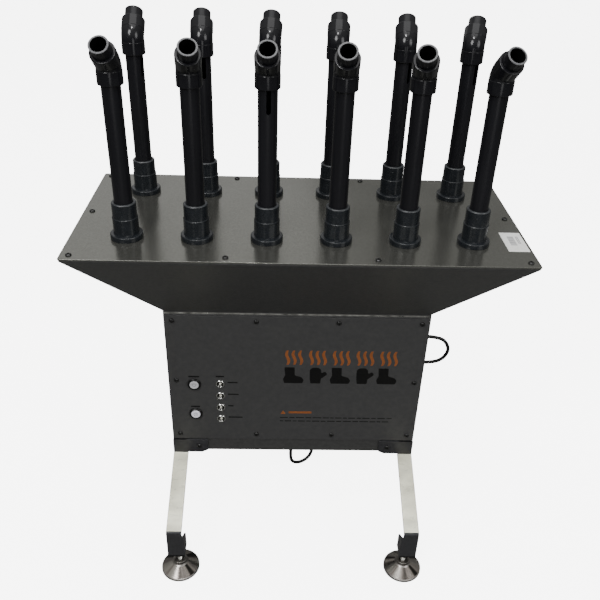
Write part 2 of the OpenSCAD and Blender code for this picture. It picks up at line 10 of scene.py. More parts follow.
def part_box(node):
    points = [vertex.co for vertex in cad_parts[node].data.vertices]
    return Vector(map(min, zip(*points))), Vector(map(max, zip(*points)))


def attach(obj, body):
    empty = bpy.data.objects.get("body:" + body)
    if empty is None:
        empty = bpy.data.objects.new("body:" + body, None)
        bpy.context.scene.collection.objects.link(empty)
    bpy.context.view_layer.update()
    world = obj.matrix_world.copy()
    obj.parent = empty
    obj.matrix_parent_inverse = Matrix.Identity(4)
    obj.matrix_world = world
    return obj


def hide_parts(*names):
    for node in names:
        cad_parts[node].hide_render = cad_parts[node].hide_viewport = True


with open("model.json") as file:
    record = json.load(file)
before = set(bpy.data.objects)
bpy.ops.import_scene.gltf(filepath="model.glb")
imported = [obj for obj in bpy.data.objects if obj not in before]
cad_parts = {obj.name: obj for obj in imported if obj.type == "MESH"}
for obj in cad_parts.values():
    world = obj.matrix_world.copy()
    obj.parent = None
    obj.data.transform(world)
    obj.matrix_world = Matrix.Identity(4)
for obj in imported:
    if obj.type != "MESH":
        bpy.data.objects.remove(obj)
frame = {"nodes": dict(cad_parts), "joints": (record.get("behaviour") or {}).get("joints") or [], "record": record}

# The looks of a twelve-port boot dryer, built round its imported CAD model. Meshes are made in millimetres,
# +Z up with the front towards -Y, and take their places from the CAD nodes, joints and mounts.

MM = 0.001
SHARP = math.radians(38)
UP = Matrix.Identity(4)
FRONT = Matrix(((1, 0, 0, 0), (0, 0, -1, 0), (0, 1, 0, 0), (0, 0, 0, 1)))   # local +Z to the front
BACK = Matrix(((-1, 0, 0, 0), (0, 0, 1, 0), (0, 1, 0, 0), (0, 0, 0, 1)))    # local +Z to the back
SIDE = Matrix(((0, 0, 1, 0), (1, 0, 0, 0), (0, 1, 0, 0), (0, 0, 0, 1)))     # local x, y, z to Y, Z, X

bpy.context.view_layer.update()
joints = {j["name"]: j for j in frame["joints"]}
mounts = {m["name"]: m for m in frame["record"]["mounts"]}


def box(node):
    """Lowest and highest corner of a CAD node, in millimetres."""
    lo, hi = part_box(node)
    return lo / MM, hi / MM


def spin(degrees, axis="Z"):
    return Matrix.Rotation(math.radians(degrees), 4, axis)


def at(x, y, z, turn=UP):
    """Places a local shape: turned, then moved to a point in millimetres."""
    return Matrix.Translation((x, y, z)) @ turn


# ---------- camera ----------

CAMERA_PLACE = (-0.042, -1.2885, 1.3817)
CAMERA_YAW = math.radians(2.11)
CAMERA_PITCH = math.radians(-31.83)
CAMERA_ROLL = math.radians(2.04)
SENSOR = 36.0
LENS = 42.51


def add_camera():
    data = bpy.data.cameras.new("camera")
    data.sensor_width = SENSOR
    data.lens = LENS
    camera = bpy.data.objects.new("camera", data)
    ahead = Vector((math.sin(CAMERA_YAW) * math.cos(CAMERA_PITCH),
                    math.cos(CAMERA_YAW) * math.cos(CAMERA_PITCH), math.sin(CAMERA_PITCH)))
    right = Vector((math.cos(CAMERA_YAW), -math.sin(CAMERA_YAW), 0))
    up = right.cross(ahead)
    right, up = (math.cos(CAMERA_ROLL) * right + math.sin(CAMERA_ROLL) * up,
                 math.cos(CAMERA_ROLL) * up - math.sin(CAMERA_ROLL) * right)
    camera.matrix_world = Matrix.Translation(CAMERA_PLACE) @ Matrix((right, up, -ahead)).transposed().to_4x4()
    bpy.context.scene.collection.objects.link(camera)
    bpy.context.scene.camera = camera


# ---------- outlines and meshes ----------

def fillet(points, radius, closed=True, steps=5):
    """The polyline with its corners rounded; radius is one number or one for each point, 0 being sharp."""
    points = [Vector(p) for p in points]
    radii = [radius] * len(points) if isinstance(radius, (int, float)) else list(radius)
    out = []
    for i, b in enumerate(points):
        if radii[i] == 0 or (not closed and i in (0, len(points) - 1)):
            out.append(b)
            continue
        to_last = (points[i - 1] - b).normalized()
        to_next = (points[(i + 1) % len(points)] - b).normalized()
        half = to_last.angle(to_next) / 2
        if half > math.radians(89.5):
            out.append(b)
            continue
        centre = b + (to_last + to_next).normalized() * radii[i] / math.sin(half)
        first = b + to_last * radii[i] / math.tan(half) - centre
        last = b + to_next * radii[i] / math.tan(half) - centre
        swing = first.angle(last)
        for k in range(steps + 1):
            t = k / steps
            out.append(centre + (math.sin((1 - t) * swing) * first + math.sin(t * swing) * last) / math.sin(swing))
    return out


def circle(radius, x=0.0, y=0.0, count=48):
    turns = [2 * math.pi * k / count for k in range(count)]
    return [Vector((x + radius * math.cos(a), y + radius * math.sin(a))) for a in turns]


def rectangle(w, h, x=0.0, y=0.0, radius=0.0):
    corners = [(x - w / 2, y - h / 2), (x + w / 2, y - h / 2), (x + w / 2, y + h / 2), (x - w / 2, y + h / 2)]
    return fillet(corners, radius) if radius else [Vector(c) for c in corners]


def area(points):
    return sum(points[i - 1].x * p.y - p.x * points[i - 1].y for i, p in enumerate(points)) / 2


def inset(points, amount):
    """The closed outline moved to its left by an amount."""
    out = []
    for i, b in enumerate(points):
        before = (b - points[i - 1]).normalized()
        after = (points[(i + 1) % len(points)] - b).normalized()
        left = Vector((-before.y - after.y, before.x + after.x))
        left = left.normalized() / max(0.5, math.cos(before.angle(after) / 2))
        out.append(b + left * amount)
    return out


def ring(radius, z, count, sides=0, round_at=1e9):
    """Points round the Z axis: a circle, or a polygon whose flats are a radius away, its corners cut round."""
    out = []
    for k in range(count):
        a = 2 * math.pi * k / count
        r = radius / math.cos(a % (2 * math.pi / sides) - math.pi / sides) if sides else radius
        r = min(r, round_at)
        out.append(Vector((r * math.cos(a), r * math.sin(a), z)))
    return out


def loft(rings, closed=False):
    """Solid through rings of equally many points, capped at its ends unless it closes on itself."""
    bm = bmesh.new()
    rows = [[bm.verts.new(p) for p in r] for r in rings]
    for a, b in zip(rows, rows[1:] + rows[:1] if closed else rows[1:]):
        for k in range(len(a)):
            bm.faces.new((a[k - 1], a[k], b[k], b[k - 1]))
    if not closed:
        bm.faces.new(rows[0])
        bm.faces.new(rows[-1])
    bmesh.ops.remove_doubles(bm, verts=bm.verts, dist=1e-4)
    bmesh.ops.dissolve_degenerate(bm, dist=1e-5, edges=bm.edges)
    bmesh.ops.recalc_face_normals(bm, faces=bm.faces)
    return bm


def lathe(profile, count=64, closed=True):
    """Solid of revolution; a profile point is (r, z), and may go on with ring()'s sides and round_at."""
    return loft([ring(p[0], p[1], count, *p[2:]) for p in profile], closed)


def plate(outline, thickness, holes=(), bevel=0.5, steps=3):
    """Flat solid on z = 0 with rounded edges, from an outline and holes through it."""
    loops = [outline if area(outline) > 0 else outline[::-1]]
    loops += [h if area(h) < 0 else h[::-1] for h in holes]
    quarter = [(bevel * (1 - math.sin(a)), bevel * (1 - math.cos(a)))
               for a in [math.pi / 2 * k / steps for k in range(steps + 1)]] if bevel else [(0, 0)]
    levels = quarter + [(q[0], thickness - q[1]) for q in reversed(quarter)]
    bm = bmesh.new()
    rims = []
    for loop in loops:
        rows = [[bm.verts.new((p.x, p.y, z)) for p in inset(loop, d)] for d, z in levels]
        for a, b in zip(rows, rows[1:]):
            for k in range(len(a)):
                bm.faces.new((a[k - 1], a[k], b[k], b[k - 1]))
        rims.append((rows[0], rows[-1]))
    for side in (0, 1):
        verts = [v for rim in rims for v in rim[side]]
        for t in tessellate_polygon([[v.co for v in rim[side]] for rim in rims]):
            bm.faces.new([verts[i] for i in t])
    bmesh.ops.recalc_face_normals(bm, faces=bm.faces)
    return bm


def together(*parts):
    """One mesh of several, each given alone or with its place."""
    whole = bmesh.new()
    for part in parts:
        bm, place = part if isinstance(part, tuple) else (part, UP)
        mesh = bpy.data.meshes.new("part")
        bm.to_mesh(mesh)
        mesh.transform(place)
        whole.from_mesh(mesh)
        bpy.data.meshes.remove(mesh)
    bmesh.ops.recalc_face_normals(whole, faces=whole.faces)
    return whole


def combine(bm, other, operation="DIFFERENCE"):
    """bm with another mesh taken away or joined, by an exact boolean."""
    objects = []
    for each in (bm, other):
        mesh = bpy.data.meshes.new("operand")
        each.to_mesh(mesh)
        objects.append(bpy.data.objects.new("operand", mesh))
        bpy.context.scene.collection.objects.link(objects[-1])
    cut = objects[0].modifiers.new("cut", "BOOLEAN")
    cut.operation = operation
    cut.solver = "EXACT"
    cut.object = objects[1]
    bpy.context.view_layer.update()
    result = bpy.data.meshes.new_from_object(objects[0].evaluated_get(bpy.context.evaluated_depsgraph_get()))
    out = bmesh.new()
    out.from_mesh(result)
    for o in objects:
        bpy.data.meshes.remove(o.data)
    bpy.data.meshes.remove(result)
    return out


def mid(face):
    return face.calc_center_median()


def paint(bm, index, test):
    """Gives the faces that pass the test another of the piece's looks."""
    for f in bm.faces:
        if test(f):
            f.material_index = index


def mesh_of(name, bm, looks, place=UP):
    """Mesh in metres, smooth except at its sharp edges."""
    bm.transform(Matrix.Scale(MM, 4) @ place)
    bmesh.ops.recalc_face_normals(bm, faces=bm.faces)
    for f in bm.faces:
        f.smooth = True
    for e in bm.edges:
        e.smooth = len(e.link_faces) == 2 and e.calc_face_angle(math.pi) < SHARP
    mesh = bpy.data.meshes.new(name)
    bm.to_mesh(mesh)
    for look in looks if isinstance(looks, list) else [looks]:
        mesh.materials.append(look)
    return mesh


def piece(name, mesh, body, replaces=(), place=UP):
    """An object of a mesh, put at a place given in millimetres, that rides on a body."""
    obj = bpy.data.objects.new(name, mesh)
    bpy.context.scene.collection.objects.link(obj)
    obj.matrix_world = Matrix.Translation(place.translation * MM) @ place.to_3x3().to_4x4()
    if isinstance(mesh, bpy.types.Mesh):
        even = obj.modifiers.new("even_normals", "WEIGHTED_NORMAL")
        even.keep_sharp = True
    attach(obj, body)
    if replaces:
        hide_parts(*replaces)
    return obj


def fixed(node, kind, bm, looks, place=UP):
    """A piece of the stand in place of one CAD node."""
    piece(f"{node}_{kind}", mesh_of(node, bm, looks, place), "stand", [node])


# ---------- finishes ----------

def finish_of(name, colour, drift=None, size=25.0, rough=0.4, uneven=0.08, metal=0.0, specular=0.5,
              grain=0.0, grain_size=1500.0, stretch=(1, 1, 1), coat=0.0, glow=None):
    """A procedural finish: a colour that drifts to another, uneven gloss, and a fine relief. A colour may be
    one number, for a grey."""
    colour, drift = [(c,) * 3 if isinstance(c, float) else c for c in (colour, drift)]
    material = bpy.data.materials.new(name)
    material.use_nodes = True
    nodes, links = material.node_tree.nodes, material.node_tree.links
    shader = nodes["Principled BSDF"]
    shader.inputs["Metallic"].default_value = metal
    shader.inputs["Specular IOR Level"].default_value = specular
    shader.inputs["Coat Weight"].default_value = coat
    shader.inputs["Coat Roughness"].default_value = 0.12
    spot = nodes.new("ShaderNodeTexCoord")
    spread = nodes.new("ShaderNodeMapping")
    spread.inputs["Scale"].default_value = stretch
    links.new(spot.outputs["Object"], spread.inputs["Vector"])

    def noise(scale, detail):
        n = nodes.new("ShaderNodeTexNoise")
        n.inputs["Scale"].default_value = scale
        n.inputs["Detail"].default_value = detail
        links.new(spread.outputs["Vector"], n.inputs["Vector"])
        return n.outputs["Fac"]

    ramp = nodes.new("ShaderNodeValToRGB")
    ramp.color_ramp.elements[0].position = 0.3
    ramp.color_ramp.elements[1].position = 0.7
    ramp.color_ramp.elements[0].color = (*colour, 1)
    ramp.color_ramp.elements[1].color = (*(drift or [c * 1.25 for c in colour]), 1)
    links.new(noise(size, 4.0), ramp.inputs["Fac"])
    links.new(ramp.outputs["Color"], shader.inputs["Base Color"])
    spread_rough = nodes.new("ShaderNodeMapRange")
    spread_rough.inputs["To Min"].default_value = max(0.02, rough - uneven)
    spread_rough.inputs["To Max"].default_value = rough + uneven
    links.new(noise(size * 2.3, 3.0), spread_rough.inputs["Value"])
    links.new(spread_rough.outputs["Result"], shader.inputs["Roughness"])
    if grain:
        bump = nodes.new("ShaderNodeBump")
        bump.inputs["Strength"].default_value = grain
        bump.inputs["Distance"].default_value = 0.0003
        links.new(noise(grain_size, 2.0), bump.inputs["Height"])
        links.new(bump.outputs["Normal"], shader.inputs["Normal"])
    if glow:
        shader.inputs["Emission Color"].default_value = (*glow, 1)
        shader.inputs["Emission Strength"].default_value = 0.12
    return material


def steel_with_painted_reflection_wedges(name, dark, bright, around=9.0):
    """Turned steel with painted reflections: wedges of dark and bright base colour round its own axis stand in for
    the reflections on a turned cone.
    """
    material = finish_of(name, dark, bright, size=60.0, rough=0.2, uneven=0.06, metal=1.0)
    nodes, links = material.node_tree.nodes, material.node_tree.links
    ramp = next(n for n in nodes if n.type == "VALTORGB")
    spot = next(n for n in nodes if n.type == "TEX_COORD")
    angle = nodes.new("ShaderNodeTexGradient")
    angle.gradient_type = "RADIAL"
    links.new(spot.outputs["Object"], angle.inputs["Vector"])
    wedge = nodes.new("ShaderNodeTexNoise")
    wedge.noise_dimensions = "1D"
    wedge.inputs["Scale"].default_value = around
    wedge.inputs["Detail"].default_value = 1.0
    links.new(angle.outputs["Fac"], wedge.inputs["W"])
    links.new(wedge.outputs["Fac"], ramp.inputs["Fac"])
    ramp.color_ramp.elements[0].position = 0.38
    ramp.color_ramp.elements[1].position = 0.6
    middle = ramp.color_ramp.elements.new(0.48)
    middle.color = (0.3, 0.27, 0.25, 1)
    return material


plate_paint = finish_of("plate_paint", (0.135, 0.135, 0.122), (0.175, 0.175, 0.16), size=320.0, rough=0.2,
                        uneven=0.05, metal=0.8, grain=0.12, grain_size=900.0)
case_paint = finish_of("case_paint", 0.033, (0.046, 0.046, 0.045), size=150.0, rough=0.38,
                       specular=0.4, grain=0.2, grain_size=1100.0)
cover_paint = finish_of("cover_paint", (0.037, 0.037, 0.038), 0.046, size=110.0, rough=0.38,
                        specular=0.4, grain=0.15, grain_size=1100.0)
leg_paint = finish_of("leg_paint", (0.02, 0.02, 0.022), (0.03, 0.03, 0.033), size=120.0, rough=0.35,
                      specular=0.4, grain=0.2, grain_size=900.0)
# Painted highlight: the bright cream look of the legs' sloping strips stands in for light reflected off their upper
# faces.
strip_painted_highlight = finish_of("strip_painted_highlight", (0.6, 0.59, 0.46), (1.0, 0.99, 0.8), size=24.0, rough=0.3,
                        uneven=0.12, metal=0.12, grain=0.2, grain_size=260.0, stretch=(0.8, 1.3, 1.3))
adapter_plastic = finish_of("adapter_plastic", (0.007, 0.0085, 0.0105), (0.011, 0.013, 0.016), size=70.0,
                            rough=0.27, specular=0.35, grain=0.1, grain_size=700.0)
nut_plastic = finish_of("nut_plastic", (0.016, 0.016, 0.018), rough=0.5, grain=0.15)
pipe_plastic = finish_of("pipe_plastic", (0.006, 0.006, 0.0075), (0.009, 0.009, 0.011), size=18.0, rough=0.3,
                         specular=0.22, grain=0.08, grain_size=60.0, stretch=(3, 3, 0.3))
elbow_plastic = finish_of("elbow_plastic", (0.006, 0.006, 0.0075), (0.009, 0.009, 0.011), size=60.0, rough=0.15,
                          uneven=0.04, specular=0.3, grain=0.1, grain_size=420.0)
cut_plastic = finish_of("cut_plastic", (0.075, 0.077, 0.082), (0.12, 0.12, 0.125), size=300.0, rough=0.5,
                        grain=0.4, grain_size=900.0)
# Painted shade: a darker, duller black for the insides of the pipes and nozzles.
bore_painted_shade = finish_of("bore_painted_shade", 0.002, 0.003, size=60.0, rough=0.7, specular=0.1)
rim_plastic = finish_of("rim_plastic", (0.02, 0.022, 0.025), (0.035, 0.038, 0.042), size=200.0, rough=0.45,
                        grain=0.3, grain_size=700.0)
screw_black = finish_of("screw_black", 0.005, 0.009, size=300.0, rough=0.28, specular=0.5)
# Painted reflections: the pads' dark and bright wedges stand in for reflections on the turned steel cone.
foot_steel = steel_with_painted_reflection_wedges("foot_steel", (0.03, 0.028, 0.025), (0.4, 0.38, 0.35))
rim_steel = finish_of("rim_steel", (0.2, 0.19, 0.18), (0.34, 0.32, 0.3), size=70.0, rough=0.3, metal=1.0)
stud_steel = finish_of("stud_steel", (0.5, 0.5, 0.48), (0.66, 0.65, 0.6), size=160.0, rough=0.25, metal=1.0)
# Painted highlight: a bright band standing in for the reflection along the hopper's front lip.
lip_painted_highlight = finish_of("lip_painted_highlight", (0.05, 0.05, 0.048), (0.5, 0.5, 0.47), size=60.0, rough=0.25,
                        uneven=0.08, metal=0.7)
button_white = finish_of("button_white", (0.5, 0.5, 0.52), (0.56, 0.56, 0.58), size=120.0, rough=0.3, coat=0.3)
button_lilac = finish_of("button_lilac", (0.68, 0.67, 0.74), (0.76, 0.75, 0.82), size=120.0, rough=0.35,
                         coat=0.2, glow=(0.8, 0.78, 0.9))
bezel_black = finish_of("bezel_black", 0.003, 0.005, size=200.0, rough=0.35, specular=0.3)
lamp_chrome = finish_of("lamp_chrome", (0.62, 0.62, 0.6), (0.72, 0.72, 0.7), size=300.0, rough=0.16, metal=1.0)
lamp_dish = finish_of("lamp_dish", (0.05, 0.05, 0.048), (0.1, 0.1, 0.095), size=300.0, rough=0.2, metal=1.0)
lamp_clear = finish_of("lamp_clear", (0.55, 0.54, 0.46), (0.68, 0.67, 0.6), size=300.0, rough=0.12, coat=0.5)
fan_steel = finish_of("fan_steel", (0.42, 0.43, 0.45), (0.55, 0.56, 0.58), size=180.0, rough=0.34, metal=1.0,
                      grain=0.2, grain_size=300.0)
wheel_metal = finish_of("wheel_metal", (0.38, 0.39, 0.4), (0.5, 0.5, 0.52), size=90.0, rough=0.3, metal=1.0)
motor_steel = finish_of("motor_steel", (0.03, 0.03, 0.034), (0.045, 0.045, 0.05), size=140.0, rough=0.4,
                        grain=0.3, grain_size=700.0)
heater_steel = finish_of("heater_steel", (0.3, 0.26, 0.2), (0.5, 0.45, 0.38), size=50.0, rough=0.32, metal=1.0)
board_green = finish_of("board_green", (0.01, 0.09, 0.03), (0.02, 0.14, 0.05), size=220.0, rough=0.3)
cord_rubber = finish_of("cord_rubber", 0.007, 0.012, size=160.0, rough=0.45,
                        specular=0.35, grain=0.15, grain_size=900.0)
plug_rubber = finish_of("plug_rubber", 0.009, 0.014, size=160.0, rough=0.4, grain=0.12, grain_size=1200.0)
blade_metal = finish_of("blade_metal", (0.6, 0.58, 0.5), (0.7, 0.68, 0.6), size=260.0, rough=0.22, metal=1.0)
clip_plastic = finish_of("clip_plastic", 0.012, 0.018, size=200.0, rough=0.5)
ink_orange = finish_of("ink_orange", (0.2, 0.062, 0.018), (0.26, 0.085, 0.025), size=120.0, rough=0.5,
                       specular=0.3)
ink_black = finish_of("ink_black", 0.0015, 0.003, size=200.0, rough=0.4, specular=0.25)
ink_grey = finish_of("ink_grey", (0.2, 0.2, 0.22), (0.24, 0.24, 0.26), size=200.0, rough=0.5)
label_paper = finish_of("label_paper", (0.72, 0.72, 0.7), (0.8, 0.8, 0.78), size=160.0, rough=0.55)


# ---------- mains cord ----------

cord_d = 8.5
cord_points = [
    (-3, 44, 165), (-3, 44, 135), (-2.7, 44.2, 86), (0.8, 45.9, 66), (11, 51.3, 54), (25, 58.5, 50),
    (39, 65.7, 54), (49.2, 71.1, 66), (53, 73, 88), (53, 73, 140), (53, 73, 185), (54.5, 73, 222),
    (67, 73, 257), (92, 73, 290), (125, 73, 322), (170, 73, 351), (220, 73, 365.5), (260, 73, 366),
    (326, 73, 367), (353, 73, 378), (364, 73, 403), (353, 73, 428), (328, 73, 439), (265, 73, 446),
    (188, 73, 466.5), (140, 73, 471), (95, 73, 472), (50, 73, 471), (16, 73, 461), (-10, 73, 438),
    (-20, 73, 400), (-20, 73, 300), (-20, 73, 225), (-20, 84, 160), (-20, 106, 105), (-18, 122, 62),
    (-13, 140, 30), (-5, 162, 11), (3, 186, 5), (5.25, 212, 4.25)]
coil_centre = Vector((-48, 212, 0))
coil_outer = 53.25
coil_steps = 36
plug_turn = math.radians(120)
plug_lead = 22.0
plug_z = 15.0


def smooth_line(points, steps):
    """Catmull-Rom curve through the points."""
    points = [Vector(p) for p in points]
    out = []
    for i in range(len(points) - 1):
        a, b, c, d = points[max(0, i - 1)], points[i], points[i + 1], points[min(len(points) - 1, i + 2)]
        for k in range(steps):
            t = k / steps
            out.append(0.5 * (2 * b + (c - a) * t + (2 * a - 5 * b + 4 * c - d) * t * t
                              + (3 * b - a - 3 * c + d) * t ** 3))
    return out + [points[-1]]


def ease(t):
    t = max(0.0, min(1.0, t))
    return t * t * (3 - 2 * t)


def coil_line():
    """Three turns and a third: out, in beside the first, then up on top of it and off towards the plug."""
    out = []
    last = 3 * 2 * math.pi + plug_turn
    count = int(coil_steps * last / (2 * math.pi))
    for k in range(1, count + 1):
        a = last * k / count
        turn = a / (2 * math.pi)
        r = coil_outer - cord_d * ease((turn - 0.62) / 0.3) + cord_d * ease((turn - 2.45) / 0.33)
        z = cord_d / 2 + cord_d * ease((turn - 1.48) / 0.32)
        out.append(coil_centre + Vector((r * math.cos(a), r * math.sin(a), z)))
    return out


def mains_cord():
    line = [Vector(cord_points[0]) + Vector((0, 0, 8))] + smooth_line(cord_points, 6) + coil_line()
    end = line[-1]
    ahead = Vector((-math.sin(plug_turn), math.cos(plug_turn), 0))
    for k in range(1, 7):
        line.append(end + ahead * (plug_lead + 4) * k / 6 + Vector((0, 0, (plug_z - end.z) * ease(k / 5))))
    curve = bpy.data.curves.new("mains_cord", "CURVE")
    curve.dimensions = "3D"
    curve.bevel_depth = cord_d / 2 * MM
    curve.bevel_resolution = 5
    curve.use_fill_caps = True
    spline = curve.splines.new("POLY")
    spline.points.add(len(line) - 1)
    for point, place in zip(spline.points, line):
        point.co = (*(place * MM), 1)
    curve.materials.append(cord_rubber)
    return piece("mains_cord", curve, "stand", ["power_cord", "cord_coil"])


# ---------- sheet-metal shell ----------

PLATE_SCREW_X = (-411, -136, 136, 411)
COVER_SCREW_X = (-260, -86, 86, 260)
SCREW_HOLE = 3.35

plate_lo, plate_hi = box("top_plate")
case_lo, case_hi = box("blower_box")
cover_lo, cover_hi = box("front_cover")
hopper_lo, hopper_hi = box("plenum_hopper")
port_places = [Vector(joints[f"outlet_{i:02d}_swivel"]["pos_m"]) / MM for i in range(1, 13)]
plate_screws = [(x, y) for x in PLATE_SCREW_X for y in (plate_lo.y + 16, plate_hi.y - 16)] + [(-411, 0), (411, 0)]
cover_screws = ([(x, cover_hi.z - 13) for x in COVER_SCREW_X] + [(x, cover_lo.z + 16) for x in COVER_SCREW_X]
                + [(x, cover_lo.z + 170) for x in (-260, 260)])
tab_screws = [(x, case_lo.z + 16) for x in (case_lo.x + 60, case_hi.x - 60)]


def rect_ring(half_w, half_d, z, radius):
    outline = rectangle(2 * half_w, 2 * half_d, radius=radius)
    return [Vector((p.x, p.y, z)) for p in outline]


def top_plate():
    holes = [circle(20.85, p.x, p.y) for p in port_places]
    holes += [circle(SCREW_HOLE, *p, count=24) for p in plate_screws]
    size = plate_hi - plate_lo
    bm = plate(rectangle(size.x, size.y, radius=5), size.z, holes, bevel=0.7)
    fixed("top_plate", "painted", bm, plate_paint, at(0, 0, plate_lo.z))


def plenum_hopper():
    """Tapered sheet shell: a low collar, four sloping sides, a rim bend and a turned-in top flange."""
    wall, lip, rim = 2.0, 7.0, 3.0
    low, top = hopper_lo.z, hopper_hi.z
    wide, deep = case_hi.x, case_hi.y
    out_x, out_y = hopper_hi.x, hopper_hi.y
    stations = [(wide, deep, low), (wide, deep, low + lip), (out_x, out_y, top - rim), (out_x, out_y, top),
                (out_x - 30, out_y - 30, top), (out_x - 30, out_y - 30, top - rim),
                (out_x - wall, out_y - wall, top - rim), (wide - wall, deep - wall, low + lip),
                (wide - 22, deep - 20, low + lip), (wide - 22, deep - 20, low)]
    radii = [1.3, 5, 3.5, 0.9, 0.5, 0, 2, 2, 0, 0]
    rings = [rect_ring(s.x, s.y, s.z, 4) for s in fillet(stations, radii)]
    bm = loft(rings, closed=True)
    # Painted highlight: a thin band low on the front collar gets the bright look, standing in for the floor's
    # reflection along the lip.
    paint(bm, 1, lambda f: low + 1.6 < mid(f).z < low + 5.2
          and mid(f).y < -deep + 0.8 and f.normal.y < -0.9)
    fixed("plenum_hopper", "painted", bm, [case_paint, lip_painted_highlight])


def blower_box():
    """Bent sheet box with a throat on top, a front opening, and air intake slots behind the fan."""
    wall = 2.0
    low, top = case_lo.z, case_hi.z
    wide, deep = case_hi.x, case_hi.y
    fan = Vector(joints["fan_spin"]["pos_m"]) / MM
    stations = [(wide - 8, deep - 8, low), (wide, deep, low), (wide, deep, top), (wide - 22, deep - 20, top),
                (wide - 22, deep - 20, top - wall), (wide - wall, deep - wall, top - wall),
                (wide - wall, deep - wall, low + wall), (wide - 12, deep - 12, low + wall)]
    bm = loft([rect_ring(s.x, s.y, s.z, 3) for s in fillet(stations, [0, 2.5, 1.5, 0, 0, 0, 1, 0], closed=False)])
    opening = plate(rectangle(2 * wide - 60, cover_hi.z - cover_lo.z - 60, radius=4), wall + 4, bevel=0)
    slot = plate(rectangle(120, 6, radius=2.9), wall + 4, bevel=0)
    cutters = [(opening, at(0, case_lo.y + wall + 2, (cover_lo.z + cover_hi.z) / 2, FRONT)),
               (lathe([(8, -2), (8, wall + 2)], 32, closed=False), at(*cord_points[0][:2], low))]
    cutters += [(slot, at(fan.x, deep - wall - 2, fan.z + (i - 5) * 12, BACK)) for i in range(11)]
    bm = combine(bm, together(*cutters))
    fixed("blower_box", "painted", bm, case_paint)


def front_cover():
    size = cover_hi - cover_lo
    middle = (cover_lo.z + cover_hi.z) / 2
    holes = [circle(SCREW_HOLE, x, z - middle, 24) for x, z in cover_screws]
    holes += [circle(13.35, x, z - middle) for x, z in button_places]
    holes += [circle(6.85, x, z - middle, 32) for x, z in lamp_places]
    bm = plate(rectangle(size.x, size.z, radius=2.5), size.y, holes, bevel=0.6)
    fixed("front_cover", "painted", bm, cover_paint, at(0, cover_hi.y, middle, FRONT))


def button_head_screws():
    head = lathe([(2.6, -9), (3, -8.6), (3, 0), (5.3, 0), (5.5, 0.3), (5.5, 0.9), (5.2, 1.9), (4.5, 2.7),
                  (3.6, 3.15), (2.9, 3.3), (2.35, 3.3, 6), (2.2, 1.5, 6)], 48, closed=False)
    places = [at(x, y, plate_hi.z) for x, y in plate_screws]
    places += [at(x, cover_lo.y, z, FRONT) for x, z in cover_screws]
    places += [at(x, case_lo.y - 4, z, FRONT) for x, z in tab_screws]
    places += [at(x, case_hi.y + 4, z, BACK) for x, z in tab_screws]
    fixed("button_head_screws", "black", together(*[(head, place) for place in places]), screw_black)


# ---------- pipes and outlets ----------

PIPE_R, BORE_R, ELBOW_R = 16.7, 13.3, 21.75
ELBOW_LEG = 33.0
BEND_R = 22.6           # radius of the elbow's curved middle
SOCKET_END = 10.0       # where the pipes stop, measured from the bend
SPLIT_W = 8.0
SPLIT_BELOW = 37.0      # middle of the split's round foot, below the elbow
SPLIT_TURNS = (150, 200, 8, 170, 190, 160, 65, 14, 180, 175, 38, 34)


def mould_bar(w, h, proud=0.35):
    return plate(rectangle(w, h, radius=0.3), proud + 0.6, bevel=0.25, steps=2)


def port_adapters():
    """Flanged sockets: a collar, a lower part with eight shallow flats, a step, and a chamfered mouth."""
    low, flats, top = 23.5, 22.8, 22.2
    profile = [(BORE_R, -27), (20.5, -27), (20.5, 0), (29.3, 0), (29.8, 0.25), (30, 0.8), (30, 7.6),
               (29.7, 8.9), (28.9, 9.7), (27.8, 10), (24.6, 10), (23.8, 10.3), (low, 11.2), (low, 12.5),
               (flats, 13.4, 8, low), (flats, 39.6, 8, low), (low, 40.4), (low, 41.2), (23.1, 41.9),
               (top, 42.4), (top, 68.6), (21.9, 69.6), (20.6, 71), (17.9, 71), (17, 70.3), (16.75, 69.6),
               (16.75, 22), (BORE_R, 22)]
    body = lathe(profile)
    paint(body, 1, lambda f: mid(f).z > 70 and mid(f).xy.length > 17)
    parts = [body]
    for k, (w, h, z) in enumerate([(7, 1, 60), (10, 1, 57.5), (5, 1, 50), (3, 1.6, 44.5), (4, 1, 54)]):
        parts.append((mould_bar(w, h), spin(12 * k - 24) @ at(0, -(top - 0.7), z, FRONT)))
    adapter = together(*parts)
    bm = together(*[(adapter, at(p.x, p.y, plate_hi.z, spin(37 * i) if i > 5 else UP))
                    for i, p in enumerate(port_places)])
    fixed("port_adapters", "moulded", bm, [adapter_plastic, rim_plastic])


def drying_pipes():
    """Upright pipes, each with a round-bottomed split at its upper end."""
    low = plate_hi.z + 22
    rim = box("elbow_01")[0].z
    bend = rim + ELBOW_LEG
    top = bend - SOCKET_END
    tube = lathe([(BORE_R, low), (16.2, low), (PIPE_R, low + 0.5), (PIPE_R, top - 0.5), (16.2, top),
                  (BORE_R, top)])
    r = SPLIT_W / 2
    foot = [Vector((r * math.cos(a), r * math.sin(a))) for a in [-math.pi * k / 12 for k in range(13)]]
    split = plate([Vector((r, 40)), *foot, Vector((-r, 40)), Vector((-r, 80)), Vector((r, 80))], 20, bevel=0)
    pipe = combine(tube, together((split, at(0, 0, rim - SPLIT_BELOW, FRONT))))
    # Painted shade: the pipe's bore faces get the darker, duller black.
    paint(pipe, 1, lambda f: mid(f).xy.length < BORE_R + 0.3)
    bm = together(*[(pipe, at(p.x, p.y, 0, spin(t))) for p, t in zip(port_places, SPLIT_TURNS)])
    fixed("drying_pipes", "glossy", bm, [pipe_plastic, bore_painted_shade])
    return bend


